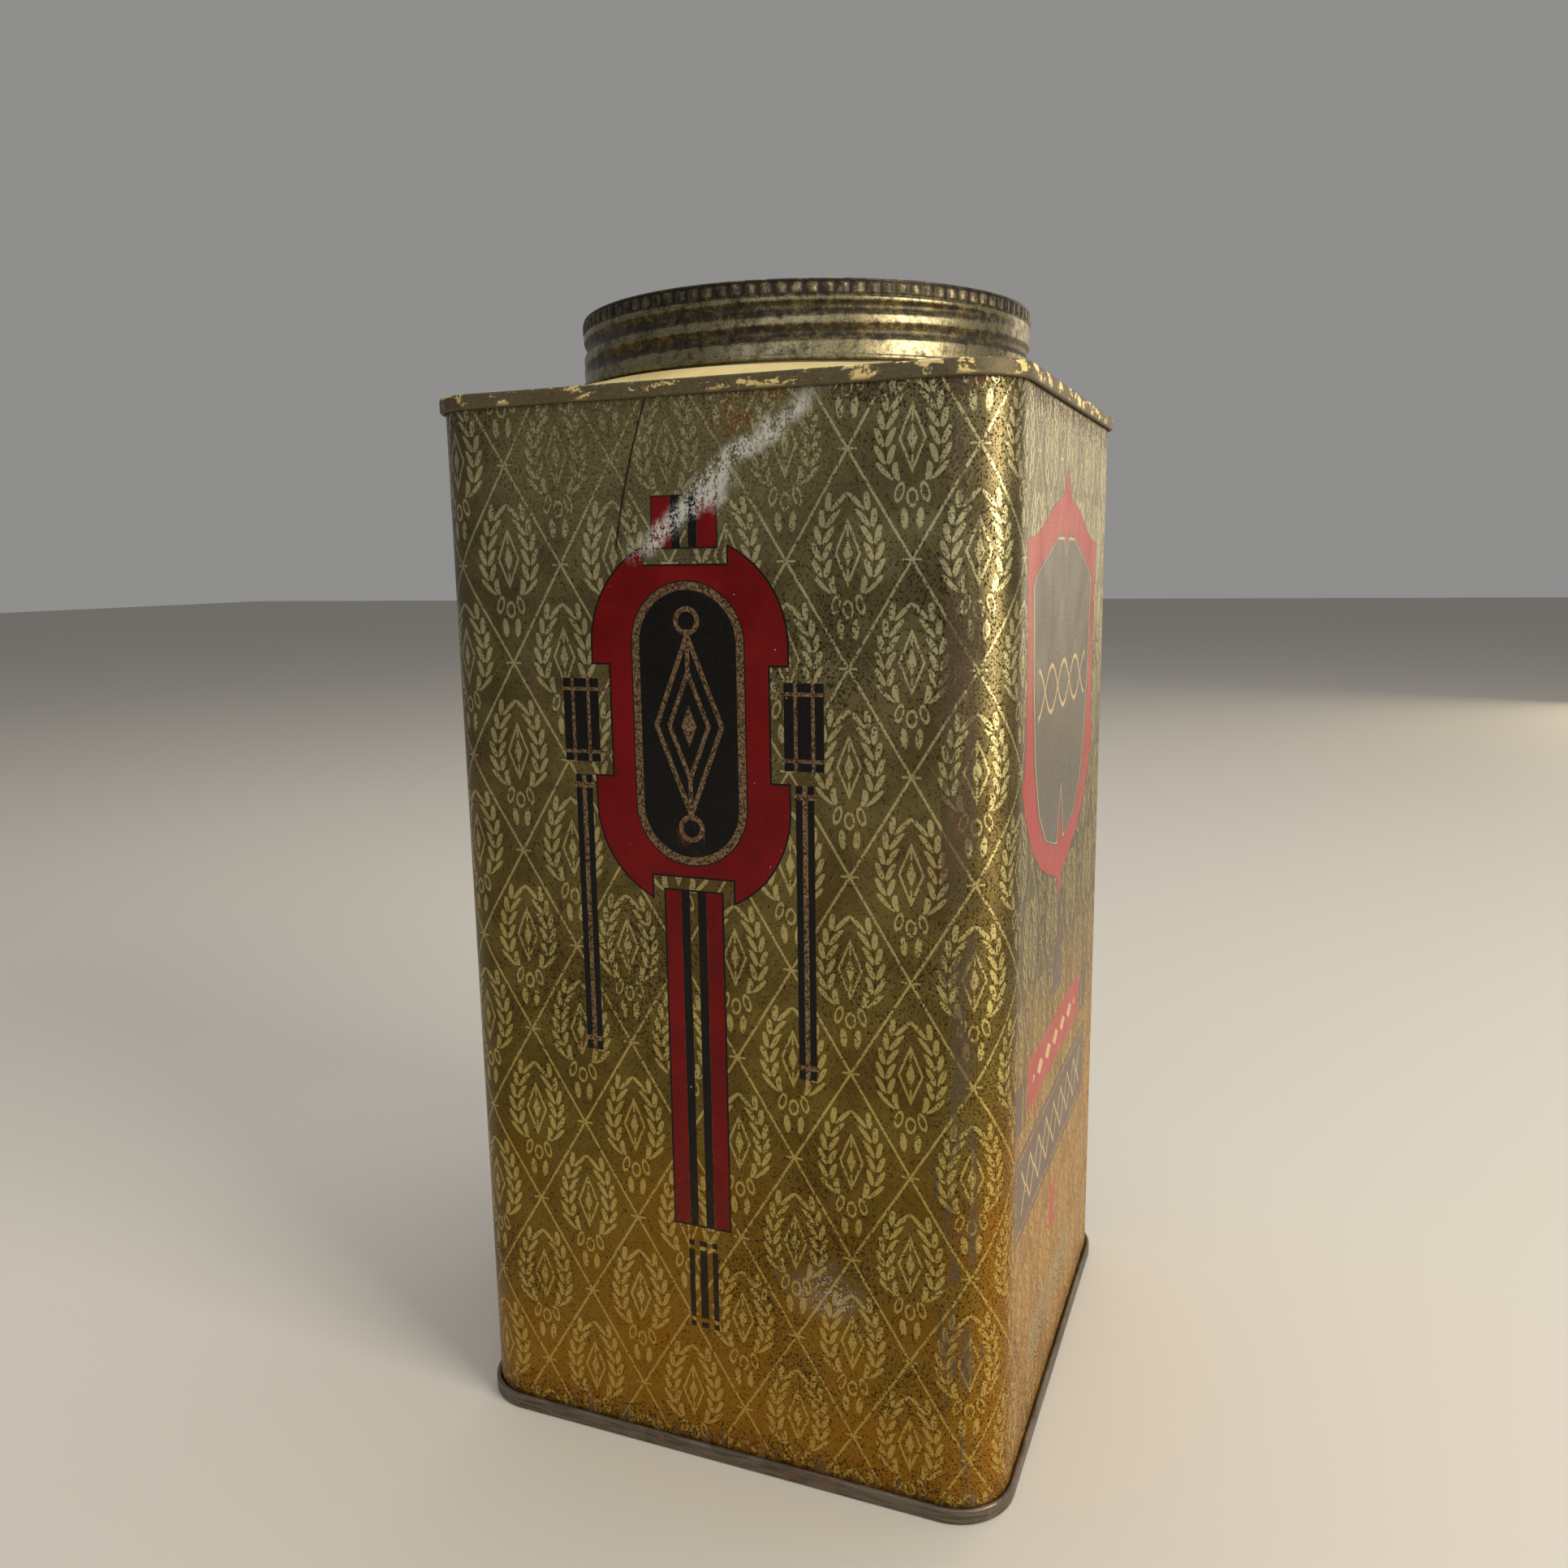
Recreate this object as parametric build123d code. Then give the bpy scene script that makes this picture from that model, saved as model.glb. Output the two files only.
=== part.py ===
"""Square tinplate canister with double seamed ends and a wide knurled screw lid.

Millimetres, +Z up. The origin is under the middle of the can, on the plane it stands on.
Every sub-part is written to parts/NODE.step in the closed position.
"""
from build123d import *
import math
import os

# Can body
SIDE = 127.0  # across the flat sides, outside
CAN_HEIGHT = 235.2  # bench to the top of the top seam
CORNER_RADIUS = 12.0
BODY_SHEET = 0.28
END_SHEET = 0.30
LAP_WIDTH = 6.0  # soldered side seam
LAP_FROM_MIDDLE = 44.0
LAP_SOLDER = 0.7

# Double seams that hold both ends
SEAM_GAP = 0.12  # between the folded layers
SEAM_BEND = 0.40
TOP_SEAM_HEIGHT = 3.2
BOTTOM_SEAM_HEIGHT = 3.57
SEAL_BEAD = 0.31  # lining compound at the top of the body's hook
SEAL_CLEARANCE = 0.01
HOOK_SHORT = 0.45  # gap between a hook's free edge and the other hook's bend
CHUCK_DEPTH = 2.4  # how far the top end's panel starts below the seam
BOTTOM_RECESS = 3.4
PANEL_BEAD_INSET = 8.5
PANEL_BEAD_RISE = 0.8
SEAL_INSET = 0.1

# Shoulder and neck
SHOULDER_RISE = 3.2  # crest above the top seam
SHOULDER_LEDGE = 1.6  # flat strip between the chuck wall and the slope
SHOULDER_CREST = 4.0  # flat crest outside the neck
SIDE_SHARE = 33.0  # degrees of the crest's circle that face half of a flat side
NECK_RADIUS = 50.75  # outside, between the threads
NECK_SHEET = 0.30
NECK_FIT = 0.08  # neck in the shoulder's hole
NECK_FOOT = 3.2
NECK_BEND = 0.2
NECK_PLAIN = 1.45  # unthreaded wall above the shoulder
NECK_SOLDER = 0.45  # height of the solder, which spreads about twice as far
SOLDER_SPREAD = 0.85
SOLDER_CLEARANCE = 0.01
RIM_ROLL = 1.1
RIM_PLAIN = 0.6  # unthreaded wall below the roll

# Thread rolled into both the neck and the lid
THREAD_PITCH = 4.8
THREAD_DEPTH = 0.8
THREAD_HALF_WIDTH = 2.0
THREAD_TURNS = 1.4
THREAD_FADE = 0.10  # turns over which each end dies out
THREAD_MARGIN = 1.0  # height over which the thread dies out towards a plain wall
THREAD_START = -150.0  # degrees
LID_THREAD_RISE = 4.3  # start of the lid's inward bead, above the lid's lower edge
THREAD_CLEARANCE = 0.45  # radial, neck to lid
HALF_FACETS = 30  # facets round half of a threaded wall
WALL_STEPS = 20

# Lid
LID_SEAT = 4.0  # lower edge above the top seam
LID_HEIGHT = 15.7  # lower edge to the flat rim
LID_SHEET = 0.30
LID_CURL = 0.6
CURL_SLIT = 0.32
LID_PLAIN = 0.9  # unthreaded wall above the lower edge
LID_CORNER = 0.35
CORNER_HEIGHT = 0.7  # from the knurls' upper end to the flat rim
KNURLS = 106
KNURL_STEP = 0.15  # knurls stand out this far from the lid's skirt
KNURL_DEPTH = 0.40
KNURL_BAND = 3.3
KNURL_LEDGE = 0.3
PANEL_RIM = 9.4  # flat rim outside the raised panel
PANEL_SLOPE = 1.0
PANEL_RAISE = 0.8
SLEEVE = 0.4  # length over which the plain and the threaded wall share metal
SLEEVE_STEP = 0.03
STRAIGHT_END = 0.6  # a threaded wall is plain for this far at each end, just past the sleeve
SHARED = 1.0  # width over which a flat plate and its rim share metal

# Liner inside the lid
LINER_FIT = 1.0  # liner in the lid
LINER_BOARD = 1.4
LINER_FACING = 0.2
LINER_GAP = 0.1

TOP_PLANE = CAN_HEIGHT
LID_BOTTOM = TOP_PLANE + LID_SEAT
LID_RIM = LID_BOTTOM + LID_HEIGHT
LID_INNER = NECK_RADIUS + THREAD_DEPTH + THREAD_CLEARANCE
LID_OUTER = LID_INNER + LID_SHEET
KNURL_RADIUS = LID_OUTER + KNURL_STEP
LINER_TOP = LID_RIM - LID_SHEET - LINER_GAP
RIM_TOP = LINER_TOP - LINER_BOARD - LINER_FACING - LINER_GAP
CREST = TOP_PLANE + SHOULDER_RISE
HOLE_RADIUS = NECK_RADIUS + NECK_FIT
LINER_RADIUS = LID_INNER - LINER_FIT
PANEL_RADIUS = KNURL_RADIUS - PANEL_RIM
KNURL_VALLEY = KNURL_RADIUS - KNURL_DEPTH

# Seam layers, as distances outward from the body's outer face to each sheet's middle
WALL = -BODY_SHEET / 2
END_HOOK = SEAM_GAP + END_SHEET / 2
BODY_HOOK = END_HOOK + END_SHEET / 2 + SEAM_GAP + BODY_SHEET / 2
OUTER_WALL = BODY_HOOK + BODY_SHEET / 2 + SEAM_GAP + END_SHEET / 2
CHUCK_WALL = -BODY_SHEET - SEAM_GAP - END_SHEET / 2
HOOK_TOP = END_SHEET + SEAL_BEAD + 2 * SEAL_CLEARANCE + BODY_SHEET / 2


def sheet_profile(points, thickness, bend):
    """A sheet of even thickness seen on edge, bent round the corners of its middle line."""
    turns = []
    for before, here, after in zip(points, points[1:], points[2:]):
        ax, ay = here[0] - before[0], here[1] - before[1]
        bx, by = after[0] - here[0], after[1] - here[1]
        turns.append(math.copysign(1.0, ax * by - ay * bx))
    sides = []
    for hand in (1.0, -1.0):
        line = [shifted(points, i, hand * thickness / 2) for i in range(len(points))]
        radii = [bend - hand * turn * thickness / 2 for turn in turns]
        sides.append(FilletPolyline(*line, radius=radii) if turns else Line(*line))
    left, right = sides
    ends = [Line(left @ 0, right @ 0), Line(left @ 1, right @ 1)]
    return Plane.XZ * make_face([*left.edges(), *right.edges(), *ends])


def shifted(points, index, distance):
    """Point of a line's parallel at the given distance to its left."""
    pairs = [(points[index - 1], points[index])] if index else []
    pairs += [(points[index], points[index + 1])] if index + 1 < len(points) else []
    normals = []
    for (ax, ay), (bx, by) in pairs:
        length = math.hypot(bx - ax, by - ay)
        normals.append((-(by - ay) / length, (bx - ax) / length))
    nx = sum(n[0] for n in normals) / len(normals)
    ny = sum(n[1] for n in normals) / len(normals)
    scale = distance / (nx * nx + ny * ny)
    return (points[index][0] + nx * scale, points[index][1] + ny * scale)


def square_path():
    """The body's outer face as a closed line, starting in the middle of the +X side."""
    half, straight = SIDE / 2, SIDE / 2 - CORNER_RADIUS
    edges = [Edge.make_line((half, 0), (half, straight))]
    for angle in range(0, 360, 90):
        middle = Vector(straight, straight).rotate(Axis.Z, angle)
        start = Vector(straight, half).rotate(Axis.Z, angle)
        finish = Vector(0 if angle == 270 else -straight, half).rotate(Axis.Z, angle)
        edges.append(Edge.make_circle(CORNER_RADIUS, Plane(origin=middle), angle, angle + 90))
        edges.append(Edge.make_line(start, finish))
    return Wire(edges)


def swept(points, thickness, bend=SEAM_BEND):
    """Sheet section carried round the square. Points are (outward distance, height)."""
    profile = sheet_profile([(SIDE / 2 + u, z) for u, z in points], thickness, bend)
    return sweep(profile, path=square_path(), transition=Transition.RIGHT)


def square_plate(inset, z, thickness):
    """Flat plate parallel to the body's sides."""
    side = SIDE - 2 * inset
    outline = RectangleRounded(side, side, CORNER_RADIUS - inset)
    return extrude(Pos(0, 0, z) * outline, thickness)


def ring(inner, outer, z, height):
    """Plain ring about the axis."""
    outline = Circle(outer) - Circle(inner)
    return extrude(Pos(0, 0, z) * outline, height)


def turned(points, thickness, bend):
    """Sheet section turned about the axis. Points are (radius, height)."""
    return revolve(sheet_profile(points, thickness, bend), Axis.Z)


def smooth(x):
    x = min(max(x, 0.0), 1.0)
    return x * x * (3 - 2 * x)


def thread_swell(angle, z, low, high, first):
    """Share of the thread's depth at an angle and a height. The thread starts at height first."""
    lead = (angle - math.radians(THREAD_START)) / (2 * math.pi)
    swell = 0.0
    for whole in range(-2, 4):
        turn = lead + whole
        offset = (z - first - THREAD_PITCH * turn) / THREAD_HALF_WIDTH
        if abs(offset) < 1:
            ends = smooth(turn / THREAD_FADE) * smooth((THREAD_TURNS - turn) / THREAD_FADE)
            swell += ends * math.cos(math.pi * offset / 2) ** 2
    below, above = z - low - STRAIGHT_END, high - STRAIGHT_END - z
    return swell * smooth(below / THREAD_MARGIN) * smooth(above / THREAD_MARGIN)


def threaded_wall(radius, sheet, low, high, depth, first):
    """Sheet wall with a thread rolled outward or, at a negative depth, inward."""
    halves = []
    for side in range(2):
        angles = [math.pi * (side + i / HALF_FACETS) for i in range(HALF_FACETS + 1)]
        start, step = low + STRAIGHT_END, (high - low - 2 * STRAIGHT_END) / WALL_STEPS
        heights = [low, *(start + step * j for j in range(WALL_STEPS + 1)), high]
        sections = []
        for angle in angles:
            outer = [(radius + depth * thread_swell(angle, z, low, high, first), z) for z in heights]
            inner = [(r - sheet, z) for r, z in reversed(outer)]
            sections.append(Wire.make_polygon([(*polar(r, angle), z) for r, z in outer + inner]))
        halves.append(Solid.make_loft(sections, True))
    return halves[0] + halves[1]


def polar(radius, angle):
    return (radius * math.cos(angle), radius * math.sin(angle))


def sleeve(radius, sheet, low, high):
    """Plain wall that wraps the threaded wall's end by a hair on both faces."""
    return ring(radius - sheet - SLEEVE_STEP, radius + SLEEVE_STEP, low, high - low)


def make_body_shell():
    """Side walls with a hook turned out at each end, and the outer lap of the side seam."""
    top, foot = TOP_PLANE - HOOK_TOP, HOOK_TOP
    top_end = TOP_PLANE - TOP_SEAM_HEIGHT + END_SHEET + HOOK_SHORT
    foot_end = BOTTOM_SEAM_HEIGHT - END_SHEET - HOOK_SHORT
    line = [(BODY_HOOK, foot_end), (BODY_HOOK, foot), (WALL, foot)]
    line += [(WALL, top), (BODY_HOOK, top), (BODY_HOOK, top_end)]
    return swept(line, BODY_SHEET) + lap()


def lap():
    """Outer lap of the soldered side seam, on the back."""
    low = BOTTOM_SEAM_HEIGHT + SEAM_GAP
    high = TOP_PLANE - TOP_SEAM_HEIGHT - SEAM_GAP
    strip = Box(LAP_WIDTH, 2 * BODY_SHEET, high - low, align=(Align.MAX, Align.CENTER, Align.MIN))
    return Pos(-LAP_FROM_MIDDLE, SIDE / 2, low) * strip


def make_side_seam_solder():
    """Fillet of solder along the lap's free edge."""
    low = BOTTOM_SEAM_HEIGHT + SEAM_GAP
    high = TOP_PLANE - TOP_SEAM_HEIGHT - SEAM_GAP
    corner = (-LAP_FROM_MIDDLE, SIDE / 2)
    section = Polyline(corner, (corner[0] + LAP_SOLDER, corner[1]),
                       (corner[0], corner[1] + BODY_SHEET), close=True)
    return extrude(Pos(0, 0, low) * make_face(section), high - low)


def seam_line(height):
    """Hooked edge of an end, measured inward from its seam's outer plane."""
    reach = HOOK_TOP + BODY_SHEET / 2 + HOOK_SHORT
    turn = height - END_SHEET / 2
    return [(END_HOOK, reach), (END_HOOK, turn), (OUTER_WALL, turn),
            (OUTER_WALL, END_SHEET / 2), (CHUCK_WALL, END_SHEET / 2)]


def make_bottom_end():
    """Recessed bottom with a square stiffening step."""
    middle = BOTTOM_RECESS + END_SHEET / 2
    raised = middle + PANEL_BEAD_RISE
    line = seam_line(BOTTOM_SEAM_HEIGHT) + [(CHUCK_WALL, middle)]
    line += [(-PANEL_BEAD_INSET, middle), (-PANEL_BEAD_INSET, raised)]
    line += [(-PANEL_BEAD_INSET - 2 * SHARED, raised)]
    plate = square_plate(PANEL_BEAD_INSET + SHARED, raised - END_SHEET / 2, END_SHEET)
    return swept(line, END_SHEET, PANEL_BEAD_RISE / 2) + plate


def make_top_end():
    """Hooked edge, short chuck wall and the shoulder that rises to the neck's hole."""
    middle = TOP_PLANE - CHUCK_DEPTH
    line = [(u, TOP_PLANE - h) for u, h in seam_line(TOP_SEAM_HEIGHT)]
    line += [(CHUCK_WALL, middle), (CHUCK_WALL - SHOULDER_LEDGE, middle)]
    crest = ring(HOLE_RADIUS, HOLE_RADIUS + SHOULDER_CREST, CREST - END_SHEET, END_SHEET)
    return swept(line, END_SHEET) + shoulder(middle - END_SHEET / 2) + crest


def shoulder(foot):
    """Sloping skin from the square chuck wall to the round crest."""
    start = CHUCK_WALL - SHOULDER_LEDGE / 2
    outer = square_to_round(start, foot, CREST)
    inner = square_to_round(start - END_SHEET, foot - END_SHEET, CREST - END_SHEET)
    hole = Pos(0, 0, CREST) * Cylinder(HOLE_RADIUS + SHARED, 4 * SHOULDER_RISE)
    return outer - inner - hole


def square_to_round(outset, low, high):
    """Ruled solid between a square parallel to the body at one height and the crest's circle."""
    half, corner = SIDE / 2 + outset, CORNER_RADIUS + outset
    flat = half - corner
    square, circle = [], []
    for angle in range(0, 360, 90):
        start = Vector(half, -flat, low).rotate(Axis.Z, angle)
        finish = Vector(half, flat, low).rotate(Axis.Z, angle)
        middle = Vector(flat, flat, low).rotate(Axis.Z, angle)
        square.append(Edge.make_line(start, finish))
        square.append(Edge.make_circle(corner, Plane(origin=middle), angle, angle + 90))
        for low_angle, high_angle in ((-SIDE_SHARE, SIDE_SHARE), (SIDE_SHARE, 90 - SIDE_SHARE)):
            circle.append(Edge.make_circle(HOLE_RADIUS + SHOULDER_CREST, Plane(origin=(0, 0, high)),
                                           angle + low_angle, angle + high_angle))
    return Solid.make_loft([Wire(square), Wire(circle)], True)


def seam_seal(plane, side):
    """Lining compound between a body hook and the end folded over it."""
    low = plane + side * (END_SHEET + SEAL_CLEARANCE)
    middle = low + side * SEAL_BEAD / 2
    return swept([(WALL + SEAL_INSET, middle), (BODY_HOOK - SEAL_INSET, middle)], SEAL_BEAD)


def make_neck_ring():
    """Screw neck: foot flange under the shoulder, threaded wall, rim rolled inward."""
    half = NECK_SHEET / 2
    low, high = CREST + NECK_PLAIN, RIM_TOP - RIM_ROLL - RIM_PLAIN
    foot_plane = CREST - END_SHEET - NECK_FIT - half
    middle = NECK_RADIUS - half
    foot = turned([(NECK_RADIUS + NECK_FOOT, foot_plane), (middle, foot_plane),
                   (middle, low - SLEEVE / 2)], NECK_SHEET, NECK_BEND)
    first = LID_BOTTOM + LID_THREAD_RISE - THREAD_PITCH / 2
    wall = threaded_wall(NECK_RADIUS, NECK_SHEET, low, high, THREAD_DEPTH, first)
    lower = sleeve(NECK_RADIUS, NECK_SHEET, low - SLEEVE, low + SLEEVE)
    upper = sleeve(NECK_RADIUS, NECK_SHEET, high - SLEEVE, RIM_TOP - RIM_ROLL)
    roll = rolled_edge(NECK_RADIUS - RIM_ROLL, RIM_TOP - RIM_ROLL, RIM_ROLL, NECK_SHEET, 1, -1)
    return foot + lower + wall + upper + roll


def rolled_edge(radius, z, roll, sheet, wall_side, free_side):
    """Hollow roll at a sheet's edge. Its free end stops short of the wall it is rolled from."""
    slit = Pos(wall_side * (roll - sheet - CURL_SLIT / 2), free_side * roll / 2) * Rectangle(CURL_SLIT, roll)
    section = Circle(roll) - Circle(roll - sheet) - slit
    return revolve(Plane.XZ * (Pos(radius, z) * section), Axis.Z)


def make_neck_solder():
    """Ring of solder in the corner between the shoulder and the neck."""
    inside, foot = NECK_RADIUS + SLEEVE_STEP + SOLDER_CLEARANCE, CREST + SOLDER_CLEARANCE
    section = Polyline((inside, foot), (NECK_RADIUS + SOLDER_SPREAD, foot),
                       (inside, CREST + NECK_SOLDER), close=True)
    return revolve(Plane.XZ * make_face(section), Axis.Z)


def knurled_ring(low, high):
    """Wall pressed into a row of rounded knurls on the outside."""
    step = 2 * math.pi / KNURLS
    arcs = []
    for i in range(KNURLS):
        start, crown, finish = (i * step, (i + 0.5) * step, (i + 1) * step)
        arcs.append(ThreePointArc(polar(KNURL_VALLEY, start), polar(KNURL_RADIUS, crown),
                                  polar(KNURL_VALLEY, finish)))
    outline = make_face(arcs) - Circle(KNURL_VALLEY - LID_SHEET)
    return extrude(Pos(0, 0, low) * outline, high - low)


def make_screw_lid():
    """Knurled lid: rolled lower edge, skirt with an inward thread, knurls and a raised panel."""
    low, high = LID_BOTTOM + LID_PLAIN, LID_RIM - KNURL_BAND
    knurl_high = LID_RIM - CORNER_HEIGHT
    middle, top = KNURL_VALLEY - LID_SHEET / 2, LID_RIM - LID_SHEET / 2
    curl = rolled_edge(LID_INNER + LID_CURL, LID_BOTTOM + LID_CURL, LID_CURL, LID_SHEET, -1, 1)
    lid = curl + sleeve(LID_OUTER, LID_SHEET, LID_BOTTOM + LID_CURL, low + SLEEVE)
    lid += threaded_wall(LID_OUTER, LID_SHEET, low, high, -THREAD_DEPTH, LID_BOTTOM + LID_THREAD_RISE)
    lid += sleeve(LID_OUTER, LID_SHEET, high - SLEEVE, high + KNURL_LEDGE)
    lid += ring(KNURL_VALLEY - LID_SHEET, LID_OUTER + SLEEVE_STEP, high, KNURL_LEDGE)
    lid += knurled_ring(high, knurl_high)
    lid += turned([(middle, knurl_high - SLEEVE / 2), (middle, top), (PANEL_RADIUS + PANEL_SLOPE, top),
                   (PANEL_RADIUS, top + PANEL_RAISE), (PANEL_RADIUS - 3 * SHARED, top + PANEL_RAISE)],
                  LID_SHEET, LID_CORNER)
    return lid + Pos(0, 0, top + PANEL_RAISE) * Cylinder(PANEL_RADIUS - 2 * SHARED, LID_SHEET)


def make_liner_board():
    """Pulpboard disc held inside the lid."""
    return Pos(0, 0, LINER_TOP - LINER_BOARD / 2) * Cylinder(LINER_RADIUS, LINER_BOARD)


def make_liner_facing():
    """Waxed paper on the side of the board that meets the rim."""
    return Pos(0, 0, LINER_TOP - LINER_BOARD - LINER_FACING / 2) * Cylinder(LINER_RADIUS, LINER_FACING)


NODES = {
    "body_shell": make_body_shell,
    "side_seam_solder": make_side_seam_solder,
    "bottom_end": make_bottom_end,
    "bottom_seam_compound": lambda: seam_seal(0.0, 1),
    "top_end": make_top_end,
    "top_seam_compound": lambda: seam_seal(TOP_PLANE, -1),
    "neck_ring": make_neck_ring,
    "neck_solder": make_neck_solder,
    "screw_lid": make_screw_lid,
    "liner_board": make_liner_board,
    "liner_facing": make_liner_facing,
}

os.makedirs("parts", exist_ok=True)
for name, make in NODES.items():
    export_step(make(), f"parts/{name}.step")
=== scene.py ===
import math

import bpy
from mathutils import Matrix, Vector


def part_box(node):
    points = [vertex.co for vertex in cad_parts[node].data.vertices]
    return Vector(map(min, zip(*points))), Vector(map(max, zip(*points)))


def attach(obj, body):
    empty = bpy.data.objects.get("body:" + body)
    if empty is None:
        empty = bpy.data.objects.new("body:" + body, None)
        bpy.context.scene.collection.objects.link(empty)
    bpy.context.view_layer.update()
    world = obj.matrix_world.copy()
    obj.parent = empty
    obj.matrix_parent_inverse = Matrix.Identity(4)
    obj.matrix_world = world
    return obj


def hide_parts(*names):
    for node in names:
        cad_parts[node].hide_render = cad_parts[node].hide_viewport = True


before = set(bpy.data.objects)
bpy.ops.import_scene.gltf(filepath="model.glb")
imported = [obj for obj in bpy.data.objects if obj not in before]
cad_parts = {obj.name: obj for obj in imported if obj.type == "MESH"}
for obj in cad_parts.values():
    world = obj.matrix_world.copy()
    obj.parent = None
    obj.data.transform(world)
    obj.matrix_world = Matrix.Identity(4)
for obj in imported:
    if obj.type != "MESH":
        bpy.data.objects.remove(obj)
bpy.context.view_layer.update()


# --- Body: four printed sides -------------------------------------------------------------
# One sheet of tinplate, gold lacquered and lithographed in the flat, bent round a square
# form and lapped at the back. The print runs round the corners without a break.

MM = 1000.0  # millimetres in a metre; patterns and outlines are drawn in millimetres
SIDE = 63.5  # middle of the can to a side's outer face
BEND = 12.0  # corner radius
FLAT = SIDE - BEND
SIDE_STEP = 2 * FLAT + BEND * math.pi / 2  # middle of one side to the middle of the next


class Value:
    """A shader socket that can be added, multiplied and compared like a number."""

    def __init__(self, finish, socket):
        self.finish, self.socket = finish, socket

    def math(self, operation, *values):
        return self.finish.node("ShaderNodeMath", {"operation": operation}, dict(enumerate(values)))

    def __add__(self, other):
        return self.math("ADD", self, other)

    def __sub__(self, other):
        return self.math("SUBTRACT", self, other)

    def __mul__(self, other):
        return self.math("MULTIPLY", self, other)

    def __truediv__(self, other):
        return self.math("DIVIDE", self, other)

    def __radd__(self, other):
        return self.math("ADD", other, self)

    def __rsub__(self, other):
        return self.math("SUBTRACT", other, self)

    def __rmul__(self, other):
        return self.math("MULTIPLY", other, self)

    def __neg__(self):
        return self.math("MULTIPLY", self, -1.0)

    def __abs__(self):
        return self.math("ABSOLUTE", self)

    def __gt__(self, other):
        return self.math("GREATER_THAN", self, other)

    def __lt__(self, other):
        return self.math("LESS_THAN", self, other)

    def __pow__(self, other):
        return self.math("POWER", self, other)


class Finish:
    """A surface finish under construction."""

    def __init__(self, name):
        self.material = bpy.data.materials.new(name)
        self.material.use_nodes = True
        self.tree = self.material.node_tree
        self.tree.nodes.clear()
        self.shader = self.tree.nodes.new("ShaderNodeBsdfPrincipled")
        output = self.tree.nodes.new("ShaderNodeOutputMaterial")
        self.tree.links.new(self.shader.outputs[0], output.inputs["Surface"])

    def node(self, kind, settings, values, out=0):
        made = self.tree.nodes.new(kind)
        for key, setting in settings.items():
            setattr(made, key, setting)
        for key, value in values.items():
            self.join(made.inputs[key], value)
        return Value(self, made.outputs[out])

    def join(self, socket, value):
        if isinstance(value, Value):
            self.tree.links.new(value.socket, socket)
        else:
            socket.default_value = value

    def surface(self, **values):
        for key, value in values.items():
            self.join(self.shader.inputs[key.replace("_", " ")], value)

    def cover(self, *names):
        """Puts the finish on whole pieces."""
        for name in names:
            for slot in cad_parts[name].material_slots:
                slot.material = self.material

    def place(self):
        """x, y and z in millimetres, and the same as a vector."""
        spot = self.node("ShaderNodeTexCoord", {}, {}, "Object")
        spot = self.node("ShaderNodeVectorMath", {"operation": "SCALE"}, {0: spot, "Scale": MM})
        return [self.node("ShaderNodeSeparateXYZ", {}, {0: spot}, axis) for axis in "XYZ"] + [spot]

    def vector(self, x, y, z):
        return self.node("ShaderNodeCombineXYZ", {}, {0: x, 1: y, 2: z})

    def noise(self, spot, per_mm, detail=3.0, rough=0.55, warp=0.0):
        return self.node("ShaderNodeTexNoise", {}, {
            "Vector": spot, "Scale": per_mm, "Detail": detail, "Roughness": rough,
            "Distortion": warp})

    def soft(self, value, low, high, start=0.0, finish=1.0):
        """Goes smoothly from start to finish as the value goes from low to high."""
        return self.node("ShaderNodeMapRange", {"interpolation_type": "SMOOTHSTEP"}, {
            0: value, 1: low, 2: high, 3: start, 4: finish})

    def mix(self, share, under, over):
        """Colour: under where share is 0, over where it is 1."""
        return self.node("ShaderNodeMix", {"data_type": "RGBA"}, {0: share, 6: under, 7: over}, 2)

    def blend(self, share, under, over):
        """The same for numbers."""
        return self.node("ShaderNodeMix", {"data_type": "FLOAT"}, {0: share, 2: under, 3: over})

    def bump(self, height, distance, strength=1.0, normal=None):
        values = {"Height": height, "Distance": distance, "Strength": strength}
        if normal is not None:
            values["Normal"] = normal
        return self.node("ShaderNodeBump", {}, values, "Normal")


def colour(red, green, blue):
    """Screen colour from 0 to 255, as the linear colour a shader takes."""
    parts = [c / 255 for c in (red, green, blue)]
    linear = [c / 12.92 if c <= 0.04045 else ((c + 0.055) / 1.055) ** 2.4 for c in parts]
    return (*linear, 1.0)


def least(first, *others):
    for other in others:
        first = first.math("MINIMUM", first, other)
    return first


def most(first, *others):
    for other in others:
        first = first.math("MAXIMUM", first, other)
    return first


def nearest_whole(a):
    return a.math("ROUND", a)


def length(a, b):
    return a.math("SQRT", a * a + b * b)


def within(distance, blur=0.10):
    """1 where a signed distance in millimetres is negative, with an edge as soft as ink."""
    return distance.finish.node("ShaderNodeClamp", {}, {0: 0.5 - distance / blur})


def band(value, middle, half):
    """Signed distance to a strip."""
    return abs(value - middle) - half


def outside_of(a, b):
    """Signed distance to a without b."""
    return most(a, -b)


def box_at(sideways, half, height, middle, half_height):
    """Signed distance to a rectangle that is mirrored about its upright middle."""
    return most(sideways - half, band(height, middle, half_height))


def clouded(finish, share, dark, light, low=0.3, high=0.7):
    """A colour that drifts between two, from their screen colours."""
    return finish.mix(finish.soft(share, low, high), colour(*dark), colour(*light))


litho = Finish("litho_gold_print")
x, y, z, spot = litho.place()

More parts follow.
